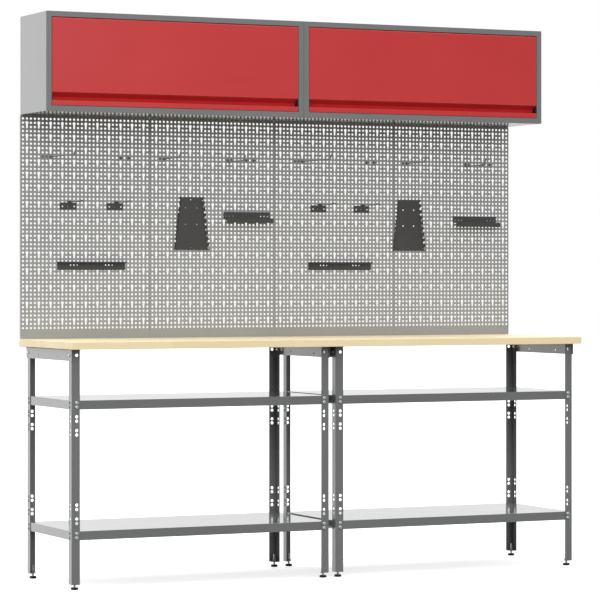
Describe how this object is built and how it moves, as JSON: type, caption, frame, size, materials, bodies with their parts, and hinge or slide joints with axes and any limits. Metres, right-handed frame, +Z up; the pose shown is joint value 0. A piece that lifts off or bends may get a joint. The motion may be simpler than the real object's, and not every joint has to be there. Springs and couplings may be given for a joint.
{
  "type": "workbench",
  "caption": "Twin steel workbench with light wood tops, open pan shelves, perforated tool panels with holders, and wall cabinets with flip-up doors.",
  "frame": {"origin": "on the floor, under the middle of the overall outline", "axes": "+X along the two benches to the user's right, -Y towards the user, +Z up; the wall plane is at the largest Y"},
  "size_m": [2.01, 0.546, 2.003],
  "materials": {
    "wood": "clear-lacquered light beech",
    "frame_grey": "semi-gloss mid grey powder coat",
    "shelf_grey": "semi-gloss mid grey powder coat",
    "panel_grey": "satin mid grey powder coat",
    "cabinet_grey": "semi-gloss mid grey powder coat",
    "door_red": "satin red powder coat",
    "foot_black": "matt black moulded plastic on a threaded stud",
    "cap_black": "matt black moulded plastic",
    "hook_grey": "satin mid grey powder coat",
    "zinc": "bright zinc plated",
    "holder_black": "satin dark grey powder coat",
    "strut_black": "gloss black paint",
    "strut_chrome": "hard chrome"
  },
  "bodies": {
    "bench_and_wall": {"apron_bolts": "zinc", "apron_left_left": "frame_grey", "apron_left_right": "frame_grey", "apron_right_left": "frame_grey", "apron_right_right": "frame_grey", "cabinet_left_back": "cabinet_grey", "cabinet_left_case_brackets": "zinc", "cabinet_left_casing": "cabinet_grey", "cabinet_left_hinge_pins": "zinc", "cabinet_right_back": "cabinet_grey", "cabinet_right_case_brackets": "zinc", "cabinet_right_casing": "cabinet_grey", "cabinet_right_hinge_pins": "zinc", "foot_inserts": "frame_grey", "leg_left_back_left": "frame_grey", "leg_left_back_right": "frame_grey", "leg_left_front_left": "frame_grey", "leg_left_front_right": "frame_grey", "leg_right_back_left": "frame_grey", "leg_right_back_right": "frame_grey", "leg_right_front_left": "frame_grey", "leg_right_front_right": "frame_grey", "long_racks": "holder_black", "shelf_bolts": "zinc", "shelf_left_lower": "shelf_grey", "shelf_left_upper": "shelf_grey", "shelf_lips_left": "shelf_grey", "shelf_lips_right": "shelf_grey", "shelf_right_lower": "shelf_grey", "shelf_right_upper": "shelf_grey", "small_holders": "holder_black", "spanner_holders": "holder_black", "tool_hooks": "hook_grey", "tool_ledges": "holder_black", "wall_panel_1": "panel_grey", "wall_panel_2": "panel_grey", "wall_panel_3": "panel_grey", "wall_panel_4": "panel_grey", "worktop_left": "wood", "worktop_right": "wood", "worktop_screws": "zinc"},
    "cabinet_left_door_body": {"cabinet_left_door": "door_red", "cabinet_left_door_caps": "cap_black", "cabinet_left_door_brackets": "zinc"},
    "cabinet_left_strut_tube_body": {"cabinet_left_strut_tubes": "strut_black"},
    "cabinet_left_strut_rod_body": {"cabinet_left_strut_rods": "strut_chrome"},
    "cabinet_right_door_body": {"cabinet_right_door": "door_red", "cabinet_right_door_caps": "cap_black", "cabinet_right_door_brackets": "zinc"},
    "cabinet_right_strut_tube_body": {"cabinet_right_strut_tubes": "strut_black"},
    "cabinet_right_strut_rod_body": {"cabinet_right_strut_rods": "strut_chrome"},
    "foot_left_back_left_body": {"foot_left_back_left": "foot_black"},
    "foot_left_back_right_body": {"foot_left_back_right": "foot_black"},
    "foot_left_front_left_body": {"foot_left_front_left": "foot_black"},
    "foot_left_front_right_body": {"foot_left_front_right": "foot_black"},
    "foot_right_back_left_body": {"foot_right_back_left": "foot_black"},
    "foot_right_back_right_body": {"foot_right_back_right": "foot_black"},
    "foot_right_front_left_body": {"foot_right_front_left": "foot_black"},
    "foot_right_front_right_body": {"foot_right_front_right": "foot_black"}
  },
  "joints": [
    {"name": "cabinet_left_door_hinge", "type": "hinge", "parent": "bench_and_wall", "child": "cabinet_left_door_body", "pos_m": [-0.49875, 0.013, 1.9776], "axis": [-1, 0, 0], "range_deg": [0, 88]},
    {"name": "cabinet_left_strut_swing", "type": "hinge", "parent": "bench_and_wall", "child": "cabinet_left_strut_tube_body", "pos_m": [-0.49875, 0.131, 1.9556], "axis": [-1, 0, 0], "range_deg": [0, 13.81]},
    {"name": "cabinet_left_strut_slide", "type": "slide", "parent": "cabinet_left_strut_tube_body", "child": "cabinet_left_strut_rod_body", "axis": [0, -0.9746, -0.2241], "range_m": [0, 0.05975]},
    {"name": "cabinet_right_door_hinge", "type": "hinge", "parent": "bench_and_wall", "child": "cabinet_right_door_body", "pos_m": [0.49875, 0.013, 1.9776], "axis": [-1, 0, 0], "range_deg": [0, 88]},
    {"name": "cabinet_right_strut_swing", "type": "hinge", "parent": "bench_and_wall", "child": "cabinet_right_strut_tube_body", "pos_m": [0.49875, 0.131, 1.9556], "axis": [-1, 0, 0], "range_deg": [0, 13.81]},
    {"name": "cabinet_right_strut_slide", "type": "slide", "parent": "cabinet_right_strut_tube_body", "child": "cabinet_right_strut_rod_body", "axis": [0, -0.9746, -0.2241], "range_m": [0, 0.05975]},
    {"name": "foot_left_back_left_height", "type": "slide", "parent": "bench_and_wall", "child": "foot_left_back_left_body", "axis": [0, 0, -1], "range_m": [-0.009, 0.012]},
    {"name": "foot_left_back_right_height", "type": "slide", "parent": "bench_and_wall", "child": "foot_left_back_right_body", "axis": [0, 0, -1], "range_m": [-0.009, 0.012]},
    {"name": "foot_left_front_left_height", "type": "slide", "parent": "bench_and_wall", "child": "foot_left_front_left_body", "axis": [0, 0, -1], "range_m": [-0.009, 0.012]},
    {"name": "foot_left_front_right_height", "type": "slide", "parent": "bench_and_wall", "child": "foot_left_front_right_body", "axis": [0, 0, -1], "range_m": [-0.009, 0.012]},
    {"name": "foot_right_back_left_height", "type": "slide", "parent": "bench_and_wall", "child": "foot_right_back_left_body", "axis": [0, 0, -1], "range_m": [-0.009, 0.012]},
    {"name": "foot_right_back_right_height", "type": "slide", "parent": "bench_and_wall", "child": "foot_right_back_right_body", "axis": [0, 0, -1], "range_m": [-0.009, 0.012]},
    {"name": "foot_right_front_left_height", "type": "slide", "parent": "bench_and_wall", "child": "foot_right_front_left_body", "axis": [0, 0, -1], "range_m": [-0.009, 0.012]},
    {"name": "foot_right_front_right_height", "type": "slide", "parent": "bench_and_wall", "child": "foot_right_front_right_body", "axis": [0, 0, -1], "range_m": [-0.009, 0.012]}
  ],
  "couplings": [
    {"joint": "cabinet_left_strut_swing", "follows": "cabinet_left_door_hinge", "ratio": 0.15698},
    {"joint": "cabinet_left_strut_slide", "follows": "cabinet_left_door_hinge", "m_per_rad": 0.038904},
    {"joint": "cabinet_right_strut_swing", "follows": "cabinet_right_door_hinge", "ratio": 0.15698},
    {"joint": "cabinet_right_strut_slide", "follows": "cabinet_right_door_hinge", "m_per_rad": 0.038904}
  ]
}
